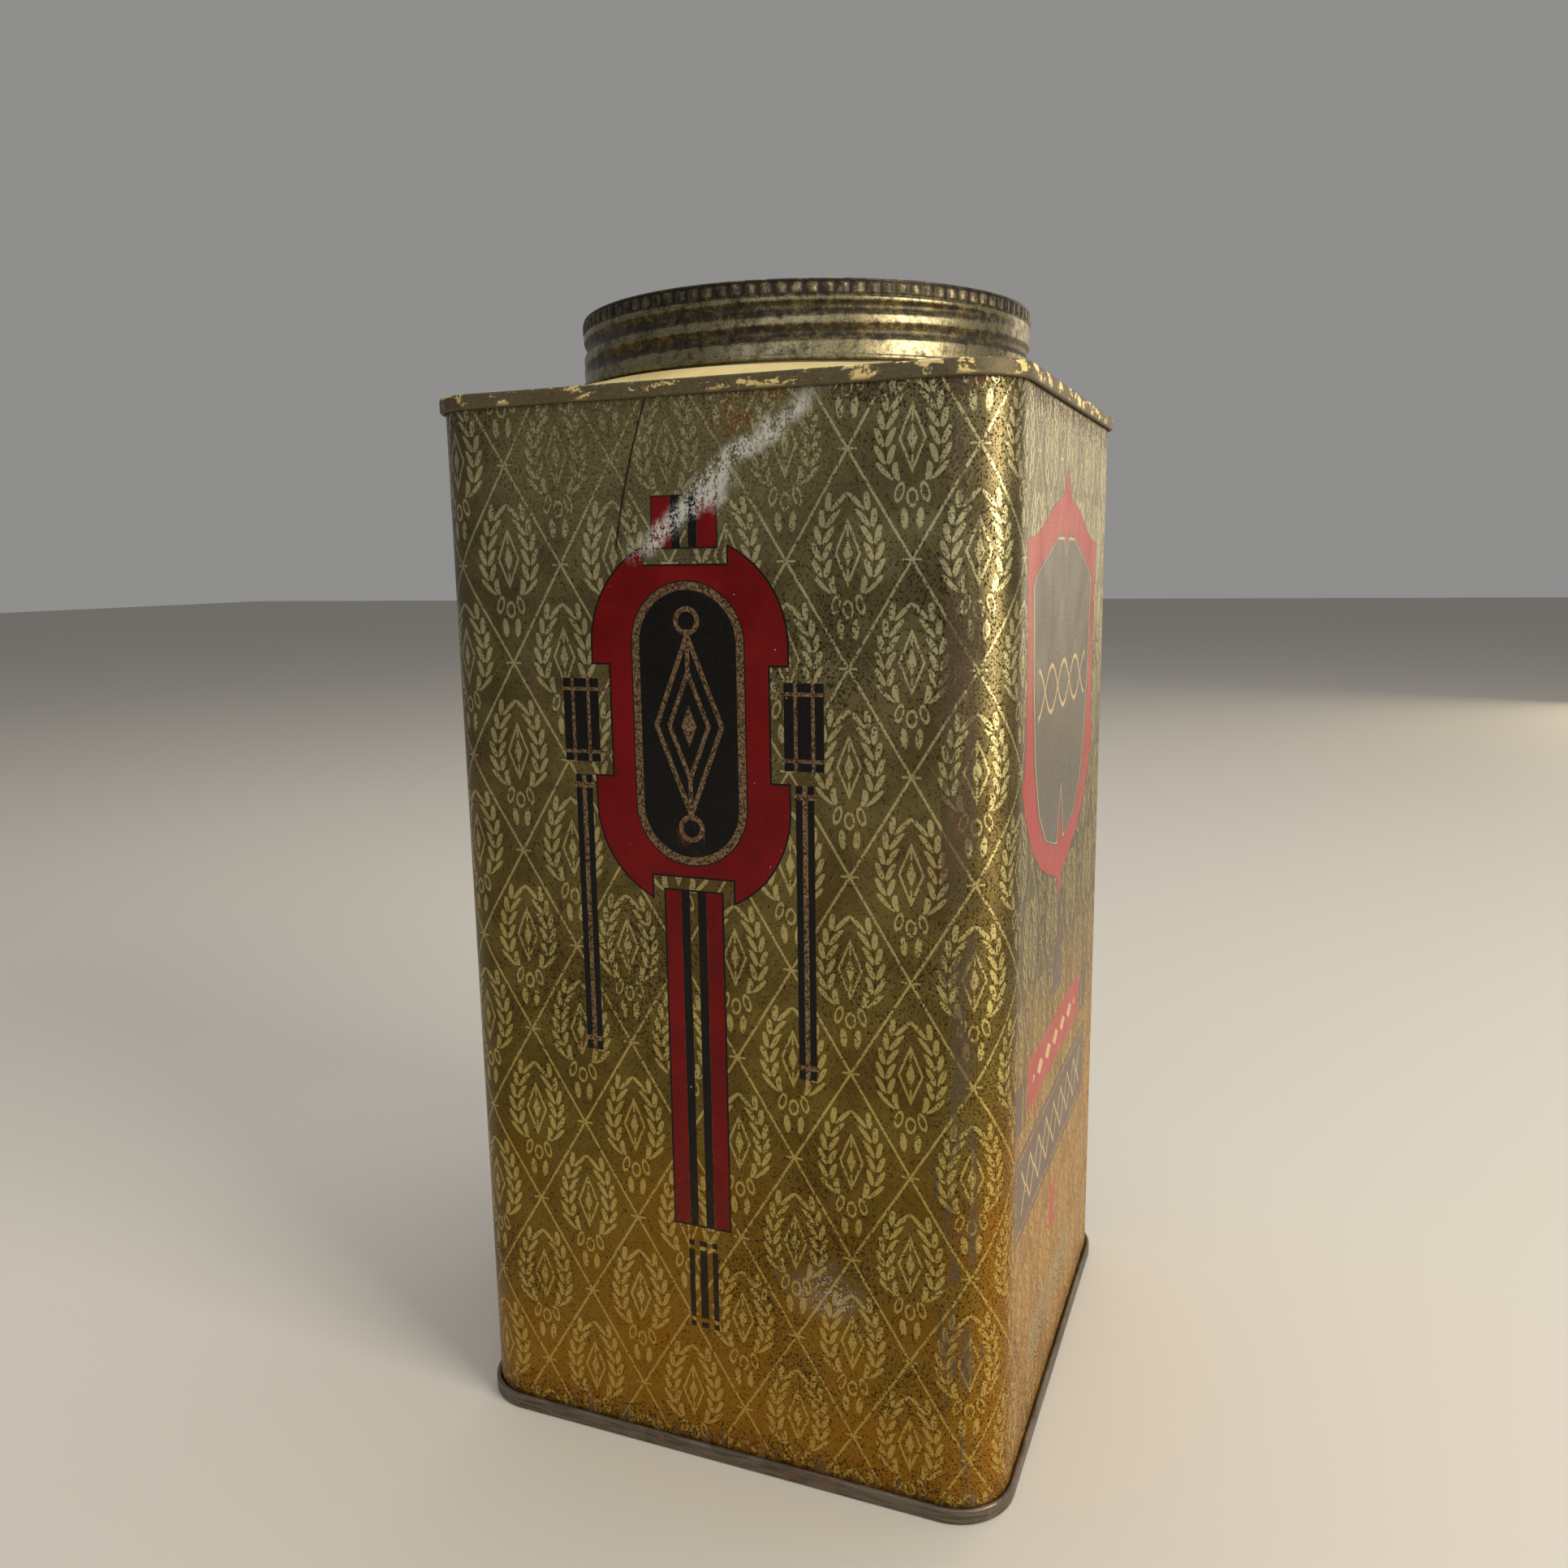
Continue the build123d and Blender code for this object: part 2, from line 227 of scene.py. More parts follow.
# Opposite sides carry the same print, so the back half is turned onto the front half. The
# distance round the can is measured from the middle of the front, along flats and bends.
rear = (x - y) < 0.0
half_turn = 1.0 - 2.0 * rear
px, py = x * half_turn, y * half_turn
flat_x = litho.node("ShaderNodeClamp", {}, {0: px, 1: -FLAT, 2: FLAT})
flat_y = litho.node("ShaderNodeClamp", {}, {0: py, 1: -FLAT, 2: FLAT})
past_right, past_left = most(px - FLAT, 0.0), most(-px - FLAT, 0.0)
past_front, past_back = most(-py - FLAT, 0.0), most(py - FLAT, 0.0)
first_bend = past_right.math("ARCTAN2", past_right, past_front)
left_bend = past_left.math("ARCTAN2", past_left, past_front)
far_bend = past_back.math("ARCTAN2", past_back, past_right)
girth = flat_x + flat_y + FLAT + BEND * (first_bend - left_bend + far_bend)
corner = FLAT + BEND * math.pi / 4
SPILL = 6.0  # how far a side's own ornament may run into the bend
front = within(abs(girth) - FLAT - SPILL)
label = within(abs(girth - SIDE_STEP) - FLAT - SPILL)

# Diamond lattice with a star at each crossing. A place is measured from the middle of its own
# diamond: how far up it is, and how far across to either side.
TILE, RISE = 25.3, 41.2  # width and height of a diamond
CROSSING, CROSSING_HEIGHT = 32.1, 199.8  # place of one crossing
SLANT = 21.6  # millimetres between opposite lines
LINE, TICK, TICK_REACH, HUB = 0.27, 0.22, 1.9, 0.55
column = (girth - CROSSING) / TILE
row = (z - CROSSING_HEIGHT) / RISE
column = column - nearest_whole(column)
row = row - nearest_whole(row)
reach = abs(column) + abs(row)
second = reach > 0.5
across = TILE * litho.blend(second, abs(column), 0.5 - abs(column))
up = RISE * litho.blend(second, row, row - 0.5 * row.math("SIGN", row))
to_side, to_tip = TILE / 2 - across, RISE / 2 - abs(up)
line = abs(reach - 0.5) * SLANT - LINE
tick = most(abs(up) - TICK, to_side - TICK_REACH)
tick = least(tick, most(abs(to_tip) - TICK, across - TICK_REACH))
hub = least(length(to_side, up), length(across, to_tip)) - HUB
lattice = least(line, tick, hub)

# Wreath of two leafy branches, tied at the foot with three loops and two ends. A branch is a
# bow that turns further in below its foot, and its leaves slope up and away on both sides.
BOW, BOW_CURVE, BOW_MIDDLE = 5.35, 0.026, 1.0
FOOT, FOOT_CURVE = -3.0, 0.09
LEAF_PITCH, LEAF_ROWS, LEAF_START, LEAF_SLOPE = 3.1, 6.0, -6.0, 1.35
LEAF_LENGTH, LEAF_HALF, LEAF_BLUNT = 2.15, 1.22, 0.7
below_foot = most(FOOT - up, 0.0)
bow = BOW - BOW_CURVE * (up - BOW_MIDDLE) * (up - BOW_MIDDLE)
stem = bow - FOOT_CURVE * below_foot * below_foot
beside = abs(across - stem)
leaf_row = (up - LEAF_SLOPE * beside - LEAF_START) / LEAF_PITCH + 0.5
leaf_off = abs(leaf_row - leaf_row.math("FLOOR", leaf_row) - 0.5) * LEAF_PITCH
along_leaf = litho.node("ShaderNodeClamp", {}, {0: beside / LEAF_LENGTH}) * math.pi
leaf_width = LEAF_HALF * along_leaf.math("SINE", along_leaf) ** LEAF_BLUNT
leaf = most(leaf_off - leaf_width, most(-leaf_row, leaf_row - LEAF_ROWS) * LEAF_PITCH) * 0.6
middle_loop = abs(length(across / 0.95, (up + 9.3) / 1.5) - 1.0) * 1.1 - 0.24
side_loop = length((across - 2.45 + 0.22 * (up + 8.2)) / 0.75, (up + 8.3) / 1.55)
side_loop = abs(side_loop - 1.0) * 0.95 - 0.23
ribbon_end = (length((across - 1.5 - 0.07 * (up + 13.1)) / 0.72, (up + 13.1) / 1.95) - 1.0) * 0.72

# A plain nested lozenge stands in the wreath.
from_charm = abs(up - 1.4)
charm = abs(across / 2.45 + from_charm / 5.8 - 1.0) * 2.2 - 0.24
charm = least(charm, (across + from_charm / 2.6 - 1.0) * 0.9)
charm = least(charm, most(across - 0.2, band(from_charm, 4.0, 1.0)))
printed = within(least(lattice, leaf, middle_loop, side_loop, ribbon_end, charm), 0.12)
vein = within(beside - 0.09, 0.1) * within(most(-6.5 - up, up - 10.5), 0.3)

# Tall ornament of the front and back faces: a red shield round a black panel, with striped
# bars above and below it, black blocks at its sides and thin rails under them.
ORNAMENT, PANEL_HEIGHT = -2.4, 166.95  # its middle line and the middle of the black panel
RULE = 0.22  # half of the black outline
HAIR = 0.34  # half of a fine gold line
BLOCK, BLOCK_HEIGHT = 25.15, 167.45
RAIL, RAIL_HEIGHT, RAIL_HALF_LENGTH = 25.2, 124.9, 30.9
FOOT_BAR, FOOT_BAR_HALF = 42.35, 10.45
du = abs(girth - ORNAMENT)
cap = length(du, most(band(z, 166.65, 16.55), 0.0)) - 22.05
notch = most(du - 9.4, 32.15 - abs(z - 167.25))
step = most(17.95 - du, band(z, 167.6, 11.8))
shield = outside_of(outside_of(cap, notch), step)
pill = length(du, most(band(z, PANEL_HEIGHT, 16.65), 0.0))
bars = least(box_at(du, 7.25, z, 207.9, 5.2), box_at(du, 6.7, z, 94.25, 37.95))
red = within(least(outside_of(shield, pill - 12.55), most(bars, 2.9 - du)))
stripe = most(bars, band(du, 1.9, 1.0))
rule = least(abs(least(shield, bars, 50.0)) - RULE, abs(pill - 12.6) - 0.2)
side_block = most(band(du, BLOCK, 4.25), band(z, BLOCK_HEIGHT, 8.85))
rails = most(band(du, RAIL, 2.0), band(z, RAIL_HEIGHT, RAIL_HALF_LENGTH))
foot_bars = box_at(du, 3.5, z, FOOT_BAR, FOOT_BAR_HALF)
block_uprights = most(least(band(du, 23.4, HAIR), band(du, 27.1, HAIR)), band(z, BLOCK_HEIGHT, 9.5))
block_ties = most(least(band(z, 174.0, HAIR), band(z, 160.7, HAIR)), band(du, 23.8, 5.8))
rail_split = most(band(du, RAIL, 0.5), band(z, RAIL_HEIGHT, RAIL_HALF_LENGTH))
rail_ties = most(least(band(z, 153.5, 0.55), band(z, 96.6, 0.5)), band(du, RAIL, 2.4))
foot_split = most(band(du, 1.55, 0.6), band(z, FOOT_BAR, FOOT_BAR_HALF + 0.15))
foot_ties = most(least(band(z, 51.0, 0.45), band(z, 33.7, 0.45)), du - 3.6)
gold_gap = least(block_uprights, block_ties, rail_split, rail_ties, foot_split, foot_ties)
piers = outside_of(least(side_block, rails, foot_bars), gold_gap)
black = within(least(stripe, rule, pill - 10.9, piers))
panel_ring = within(pill - 12.5) * (1.0 - within(pill - 10.9))

# Figure inside the black panel: nested lozenges on a spine with a ring at each end.
from_mid = abs(z - 166.9)
outer_lozenge = abs(du / 7.4 + from_mid / 18.5 - 1.0) * 6.9 - 0.5
inner_lozenge = abs(du / 4.4 + from_mid / 11.0 - 1.0) * 4.1 - 0.45
heart = (du / 1.7 + from_mid / 4.2 - 1.0) * 1.5
end_ring = abs(length(du, from_mid - 21.4) - 2.4) - 0.5
spine = most(du - 0.45, band(from_mid, 15.0, 4.0))
figure = within(least(outer_lozenge, inner_lozenge, heart, end_ring, spine)) * within(pill - 9.6)
gold_line = most(panel_ring, figure, within(gold_gap) * within(90.0 - z)) * front
red, black = red * front, black * front

# Cartouche and banners of the two label faces. The outlines are half widths at heights.
LABEL_SHIFT = 6.0
CARTOUCHE = [
    (118.0, 0.0), (121.5, 0.6), (127.5, 3.6), (130.5, 13.5), (134.0, 23.5), (140.0, 33.5),
    (148.0, 41.0), (155.5, 45.6), (157.5, 42.6), (170.0, 41.6), (190.0, 42.0), (203.4, 44.0),
    (204.2, 34.5), (206.5, 27.0), (210.0, 17.5), (212.2, 9.6), (212.9, 4.6), (216.0, 2.6),
    (220.0, 0.0)]
FIELD = [
    (134.5, 0.0), (136.3, 9.0), (139.0, 19.0), (146.0, 27.5), (158.0, 33.0), (175.0, 36.0),
    (194.0, 37.6), (196.4, 35.0), (199.5, 25.0), (202.8, 15.5), (204.8, 8.0), (205.2, 0.0)]
BANNER, WIDE_BANNER = 87.9, 66.4  # heights of the red and the brown banner


def upright_outline(finish, sideways, height, points):
    """Signed distance, sideways, to an outline mirrored about its upright middle."""
    low, high = points[0][0], points[-1][0]
    widest = max(width for _, width in points)
    made = finish.tree.nodes.new("ShaderNodeFloatCurve")
    curve = made.mapping.curves[0]
    for index, (level, width) in enumerate(points):
        knot = ((level - low) / (high - low), width / widest)
        if index < 2:
            curve.points[index].location = knot
        else:
            curve.points.new(*knot)
    for point in curve.points:
        point.handle_type = "VECTOR"
    made.mapping.update()
    finish.join(made.inputs["Value"], (height - low) / (high - low))
    half = Value(finish, made.outputs[0]) * widest
    return most(sideways - half, band(height, (low + high) / 2, (high - low) / 2)) * 0.8


dl = abs(girth - SIDE_STEP + LABEL_SHIFT)
cartouche = upright_outline(litho, dl, z, CARTOUCHE)
field_edge = upright_outline(litho, dl, z, FIELD)
field_edge = outside_of(field_edge, dl - (z - 201.6) * 0.8)
field_edge = outside_of(field_edge, dl - (145.0 - z) * 0.32)
frame_rule = most(within(abs(cartouche) - 0.3), within(abs(field_edge) - 0.25)) * label
wave = 5.0 * (dl * 0.21).math("COSINE", dl * 0.21)
scroll = least(abs(z - 172.0 - wave), abs(z - 172.0 + wave)) * 0.8 - 0.4
scroll = within(scroll) * within(dl - 29.5)
red_banner = box_at(dl, 33.0, z, BANNER, 5.7)
folded_ends = outside_of(most(band(dl, 40.5, 5.2), band(z, 86.7, 5.6)), band(dl, 38.0, 0.8))
wide_banner = box_at(dl, 45.0, z, WIDE_BANNER, 10.0)
small_block = box_at(dl, 5.6, z, 106.2, 6.9)
small_red = box_at(dl, 3.2, z, 45.0, 5.5)
pale_strip = within(box_at(dl, 27.0, z, 23.2, 6.0)) * label
BEAD = 9.5
bead = (girth - SIDE_STEP + LABEL_SHIFT) / BEAD
bead = abs(bead - nearest_whole(bead)) * BEAD
red_beads = within((bead / 3.6 + abs(z - BANNER) / 2.0 - 1.0) * 1.6) * within(dl - 27.0)
wide_beads = abs(bead / 4.2 + abs(z - WIDE_BANNER) / 5.0 - 1.0) * 3.2 - 0.35
wide_beads = within(wide_beads) * within(dl - 38.0)
cartouche_red = within(cartouche) * (1.0 - within(field_edge))
label_red = most(cartouche_red, within(red_banner), within(small_red)) * label
wide_brown = outside_of(wide_banner, abs(wide_banner + 1.7) - 0.3)
small_brown = outside_of(small_block, abs(small_block + 1.2) - 0.25)
label_brown = most(within(wide_brown), within(folded_ends), within(small_brown)) * label
inner_rule = within(abs(field_edge + 1.1) - 0.2)
label_gold = most(scroll, inner_rule, red_beads, wide_beads) * label
field = within(field_edge) * label

# What covers the lattice, and which of it is solid, glossy ink.
covered = most(within(shield), within(pill - 12.6), within(least(bars, side_block, rails))) * front
label_cover = most(within(cartouche), within(least(red_banner, wide_banner))) * label
covered = most(covered, label_cover)
solid_ink = most(red, black, field, label_red, label_brown) * (1.0 - gold_line)

# Colours of the inks, each with its own unevenness.
broad = litho.noise(spot, 0.018, 3.0, 0.6)
cloud = litho.noise(spot, 0.09, 4.0, 0.6)
grain = litho.noise(spot, 1.7, 3.0, 0.7)
fleck = litho.noise(litho.vector(x, y, z * 0.8), 2.4, 2.0, 0.6)
# Ground and ink both go warmer towards the foot: a painted reflection of a warm tabletop.
tabletop_reflection = litho.soft(z + (broad - 0.5) * 40.0, 212.0, 70.0)
ground = clouded(litho, cloud, (84, 75, 50), (106, 96, 66), 0.35, 0.68)
ground = litho.mix(tabletop_reflection, ground, clouded(litho, cloud, (86, 68, 26), (108, 90, 38), 0.35, 0.68))
ink = clouded(litho, cloud, (152, 144, 106), (174, 165, 124))
ink = litho.mix(tabletop_reflection, ink, clouded(litho, cloud, (158, 140, 78), (176, 158, 92)))
paint = litho.mix(printed * litho.soft(grain, 0.2, 0.5, 0.55, 0.97), ground, ink)
for mask, tone in ((vein * 0.75, (58, 49, 30)), (field, (74, 66, 56)), (label_red, (136, 30, 25)),
                   (label_brown, (66, 44, 28)), (pale_strip * 0.6, (186, 164, 112)),
                   (label_gold * 0.8, (176, 152, 104))):
    paint = litho.mix(mask, paint, colour(*tone))
paint = litho.mix(red, paint, clouded(litho, cloud, (82, 3, 4), (98, 6, 7)))
paint = litho.mix(most(black, frame_rule * 0.8), paint, colour(13, 11, 10))
paint = litho.mix(gold_line, paint, clouded(litho, grain, (146, 120, 88), (104, 80, 58), 0.42, 0.6))

# Painted reflection of a warm tabletop: amber towards the foot, higher up on the label sides.
label_side = litho.soft(girth, FLAT - 2.0, SIDE_STEP - FLAT + 6.0)
amber_reflection = z + (broad - 0.5) * 95.0 + (cloud - 0.5) * 40.0 + 0.3 * abs(px - 12.0) - 44.0 * label_side
amber_reflection = 0.75 * litho.soft(amber_reflection, 98.0, 20.0) * (1.0 - 0.94 * solid_ink) * (1.0 - 0.6 * pale_strip)
reflected_gold = litho.mix(label_side, colour(148, 102, 24), colour(178, 122, 32))
reflected_print = litho.mix(label_side, colour(180, 144, 66), colour(204, 162, 72))
paint = litho.mix(amber_reflection, paint, litho.mix(printed, reflected_gold, reflected_print))

# Fine black pits: sparse over all, crowded high on the front, in the gold lines and at edges.
high = litho.soft(z, 196.0, 222.0) * litho.soft(abs(girth + 8.0), 46.0, 26.0)
LOWER_SEAM, UPPER_SEAM = 3.5, 232.5  # heights where the print goes under the end seams
near_edge = litho.soft(least(z - LOWER_SEAM, UPPER_SEAM - z), 9.0, 1.0)
near_bend = litho.soft(abs(girth - corner), 15.0, 4.0)
dirty = litho.soft(broad, 0.5, 0.68) * 0.5
crowd = most(high * 0.85, near_edge * 0.6, gold_line * 0.6, near_bend * 0.4, dirty)
pits = litho.soft(fleck - (0.6 - crowd * 0.15), 0.0, 0.035) * (1.0 - 0.75 * solid_ink)
blotch = litho.noise(spot, 0.8, 4.0, 0.72) + crowd * 0.06 + (cloud - 0.5) * 0.12
blotch = litho.soft(blotch, 0.6, 0.68) * (1.0 - 0.85 * solid_ink)
paint = litho.mix(blotch * 0.42, paint, colour(44, 37, 24))
paint = litho.mix(pits * 0.85, paint, colour(34, 28, 18))
pale_high = high * litho.soft(grain, 0.3, 0.6) * (1.0 - covered)
paint = litho.mix(pale_high * 0.4, paint, colour(150, 141, 98))

# Worn bends: print rubbed to dark metal in upright streaks, with rust near the edges.
streak = litho.noise(litho.vector(x, y, z * 0.16), 0.42, 5.0, 0.65)
patch = litho.noise(spot, 0.06, 3.0, 0.6)
first_corner = litho.soft(abs(girth - 54.5), 7.0, 1.0)
rub = streak + first_corner * 0.2 + near_bend * 0.04 + (patch - 0.5) * 0.35
rub = most(litho.soft(rub, 0.68, 0.78), litho.soft(streak + near_edge * 0.2, 0.72, 0.8) * near_edge)
paint = litho.mix(rub * 0.8, paint, litho.mix(grain, colour(40, 34, 28), colour(88, 72, 52)))
rust = litho.soft(patch + near_edge * 0.12 + first_corner * 0.08, 0.66, 0.78)
rust = rust * litho.soft(fleck, 0.4, 0.6)
paint = litho.mix(rust * 0.55, paint, colour(112, 60, 24))

# A long white scuff across the front's upper part, a smaller one low down, a dark scratch,
# and pale chips in the solid inks.
SCUFF_X, SCUFF_Z = -12.0, 203.0  # its lower left end
SCUFF_RUN, SCUFF_CLIMB = 0.795, 0.607  # how far right and up it goes for each millimetre
only_front = 1.0 - rear
from_x, from_z = girth - SCUFF_X, z - SCUFF_Z
lengthwise = from_x * SCUFF_RUN + from_z * SCUFF_CLIMB
sideways = abs(from_z * SCUFF_RUN - from_x * SCUFF_CLIMB + (cloud - 0.5) * 9.0)
scuff = litho.soft(sideways, 3.6, 0.6) * within(band(lengthwise, 23.0, 24.0), 8.0)
scuff = scuff * litho.soft(fleck + streak, 0.86, 1.12)
low_scuff = length((girth - 28.0) * 0.7, z - 46.0) + (cloud - 0.5) * 22.0
low_scuff = litho.soft(low_scuff, 8.0, 1.0) * litho.soft(fleck, 0.5, 0.66) * 0.8
scuff = most(scuff, low_scuff) * only_front
paint = litho.mix(scuff * 0.8, paint, colour(182, 182, 178))
SCRATCH_X, SCRATCH_Z = -17.9, 202.7  # its lower end; it leans and bends to the right
climb = z - SCRATCH_Z
scratch = abs(girth - SCRATCH_X - climb * 0.16 - climb * climb * 0.0036) - 0.24
scratch = within(scratch, 0.3) * within(band(z, 217.5, 15.0), 3.0) * only_front
broken = litho.soft(blotch + grain, 0.2, 0.5, 0.5, 0.95)
paint = litho.mix(scratch * broken, paint, colour(30, 26, 20))
chips = litho.soft(litho.noise(spot, 0.55, 2.0, 0.7), 0.74, 0.765) * solid_ink
paint = litho.mix(chips * 0.85, paint, colour(198, 184, 160))

# The inside of the can is plain gold lacquer.
outer = length(most(abs(x) - FLAT, 0.0), most(abs(y) - FLAT, 0.0))
outer = litho.soft(outer, BEND - 0.2, BEND - 0.08)
paint = litho.mix(outer, clouded(litho, cloud, (168, 136, 74), (190, 160, 94)), paint)
enamel = solid_ink * outer
shine = litho.blend(enamel, 0.82, 0.0) * (1.0 - 0.7 * rub) * (1.0 - 0.8 * scuff)
gloss = litho.blend(enamel, 0.36, 0.26) + (cloud - 0.5) * 0.16
gloss = gloss + pits * 0.25 + rub * 0.22 + scuff * 0.2
dents = litho.bump(litho.noise(spot, 0.045, 2.0, 0.4), 0.0016, 0.32)
relief = (grain - pits * 1.4 - rub - scratch * 2.0) * 0.5 + printed * (1.0 - covered) * 0.35
litho.surface(
    Base_Color=paint,
    Metallic=shine,
    Roughness=gloss,
    Specular_IOR_Level=0.15,
    Normal=litho.bump(relief, 0.00003, 0.55, dents))
litho.cover("body_shell")


# --- Solder -------------------------------------------------------------------------------
# Thin fillets of soft solder, wiped on hot along the lap at the back and round the neck. The
# solder is dull grey, with brighter runs where it flowed.

solder = Finish("wiped_solder")
x, y, z, spot = solder.place()
runs = solder.noise(solder.vector(x, y, z * 0.25), 0.9, 4.0, 0.6)
lumps = solder.noise(spot, 2.6, 3.0, 0.6)
solder.surface(
    Base_Color=solder.mix(runs, colour(112, 110, 104), colour(176, 174, 166)),
    Metallic=0.9,
    Roughness=0.34 + runs * 0.25,
    Normal=solder.bump(lumps + runs, 0.00006, 0.6))
solder.cover("side_seam_solder", "neck_solder")


# --- Ends ---------------------------------------------------------------------------------
# The top end is gold lacquered inside and out and folded over the body's edge. Its seam has
# been rubbed through to dark steel in long patches.

gilt = Finish("worn_gold_lacquer")
x, y, z, spot = gilt.place()
cloud = gilt.noise(spot, 0.07, 4.0, 0.6)
grain = gilt.noise(spot, 1.6, 3.0, 0.7)
streak = gilt.noise(gilt.vector(x, y, z * 2.2), 0.16, 6.0, 0.62, 0.4)
sx, sy = abs(x), abs(y)
beyond = length(most(sx - FLAT, 0.0), most(sy - FLAT, 0.0))
beyond = beyond + most(least(most(sx, sy) - FLAT, 0.0), -FLAT)
on_seam = gilt.soft(beyond, BEND - 0.9, BEND - 0.2)
lacquer = clouded(gilt, cloud, (205, 184, 118), (226, 208, 146))
foxing = gilt.soft(gilt.noise(spot, 0.35, 4.0, 0.7), 0.6, 0.74)
lacquer = gilt.mix(foxing * 0.35, lacquer, colour(128, 96, 52))
bare = gilt.soft(streak + (grain - 0.5) * 0.3, 0.42, 0.47)
seam_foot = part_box("top_end")[0][2] * MM
lower_lip = gilt.soft(z, seam_foot + 1.2, seam_foot + 0.1)
bare = most(bare, lower_lip) * on_seam
lacquer = gilt.mix(on_seam * 0.35, lacquer, colour(176, 148, 92))
steel = clouded(gilt, grain, (22, 19, 16), (62, 53, 38), 0.35, 0.65)
tint = gilt.mix(bare * 0.9, lacquer, steel)
gilt.surface(
    Base_Color=tint,
    Metallic=gilt.blend(bare, 0.35, 0.5),
    Roughness=0.38 + grain * 0.12 + bare * 0.14,
    Normal=gilt.bump(grain * 0.4 - bare * 0.9 + cloud, 0.00005, 0.5))
gilt.cover("top_end")

# The bottom end is plain tinplate. Its rim is what the can slides about on, so the tin has
# gone grey-brown with patches of rust.

plain = Finish("dull_tinplate")
x, y, z, spot = plain.place()
cloud = plain.noise(spot, 0.08, 5.0, 0.6)
grain = plain.noise(spot, 1.4, 4.0, 0.7)
drawn = plain.noise(plain.vector(x * 0.2, y * 0.2, z * 3.0), 0.6, 4.0, 0.6)
crystals = plain.node(
    "ShaderNodeTexVoronoi", {"feature": "F1"}, {"Vector": spot, "Scale": 0.16}, "Color")
spangle = plain.node("ShaderNodeSeparateColor", {}, {0: crystals})
rust = plain.soft(cloud + (grain - 0.5) * 0.3, 0.54, 0.7)
tin = clouded(plain, drawn, (70, 62, 52), (112, 102, 88))
tin = plain.mix(spangle * 0.25, tin, colour(138, 132, 120))
rusty = plain.mix(grain, colour(62, 38, 22), colour(118, 72, 36))
plain.surface(
    Base_Color=plain.mix(rust * 0.75, tin, rusty),
    Metallic=0.85 - rust * 0.65,
    Roughness=0.42 + rust * 0.35 + grain * 0.08,
    Normal=plain.bump(grain * 0.6 + rust * 0.8, 0.00006, 0.6))
plain.cover("bottom_end")


# --- Seam compound ------------------------------------------------------------------------
# A film of rubbery lining compound sealed inside each double seam. It never shows unless the
# seam is cut open.

seal = Finish("lining_compound")
x, y, z, spot = seal.place()
skin = seal.noise(spot, 1.2, 4.0, 0.6)
seal.surface(
    Base_Color=seal.mix(skin, colour(96, 66, 42), colour(132, 98, 66)),
    Roughness=0.55 + skin * 0.3,
    Normal=seal.bump(skin, 0.00008, 0.7))
seal.cover("top_seam_compound", "bottom_seam_compound")


# --- Neck ---------------------------------------------------------------------------------
# A tinplate ring with the thread rolled outward in its wall, its rim rolled inward and its
# foot flange under the shoulder. The same rolling tree shapes the lid's skirt further down.

SHEET = 0.30
NECK = 50.75  # outside, between the threads
NECK_FOOT = 3.2  # flange under the shoulder
NECK_PLAIN, RIM_PLAIN = 1.45, 0.6  # unthreaded wall above the shoulder and below the roll
RIM_ROLL = 1.1
THREAD_PITCH, THREAD_DEPTH, THREAD_HALF = 4.8, 0.8, 2.0
THREAD_TURNS, THREAD_START = 1.4, -150.0  # the start is in degrees
THREAD_FADE = 0.10  # turns over which each end dies out
STRAIGHT_END = 0.6  # a threaded wall is plain for this far at each end
LID_THREAD_RISE = 4.3  # start of the lid's own thread, above the lid's lower edge


def turned_sheet(name, outline, columns):
    """Closed skin turned about the axis from an outline of (radius, height, wall share).

    A wall share of 1 takes the thread, -1 takes the knurls and 0 stays plain.
    """
    rows = len(outline)
    axis_ends = [i for i, point in enumerate(outline) if point[0] == 0.0]
    points, faces, share = [], [], []
    for i, (radius, height, wall) in enumerate(outline):
        ring_size = 1 if i in axis_ends else columns
        for j in range(ring_size):
            angle = 2 * math.pi * j / columns
            across_at, along_at = radius * math.cos(angle), radius * math.sin(angle)
            points.append((across_at / MM, along_at / MM, height / MM))
            share.append(wall)
    starts, total = [], 0
    for i in range(rows):
        starts.append(total)
        total += 1 if i in axis_ends else columns
    closed = not axis_ends
    for i in range(rows if closed else rows - 1):
        k = (i + 1) % rows
        for j in range(columns):
            m = (j + 1) % columns
            if i in axis_ends:
                faces.append((starts[i], starts[k] + m, starts[k] + j))
            elif k in axis_ends:
                faces.append((starts[i] + j, starts[i] + m, starts[k]))
            else:
                faces.append((starts[i] + j, starts[i] + m, starts[k] + m, starts[k] + j))
    mesh = bpy.data.meshes.new(name)
    mesh.from_pydata(points, [], faces)
    mesh.attributes.new("wall", "FLOAT", "POINT").data.foreach_set("value", share)
    mesh.shade_smooth()
    piece = bpy.data.objects.new(name, mesh)
    bpy.context.scene.collection.objects.link(piece)
    return piece


def arc(radius, height, size, start, finish, steps):
    """Points on a plain bend, angles in degrees from +radius towards +height."""
    spread = [math.radians(start + (finish - start) * i / steps) for i in range(steps + 1)]
    return [(radius + size * math.cos(t), height + size * math.sin(t), 0.0) for t in spread]


def rise_to(radius, low, high, steps, wall=1.0):
    """Points up or down a wall, which takes the thread unless its share says otherwise."""
    return [(radius, low + (high - low) * i / steps, wall) for i in range(steps + 1)]


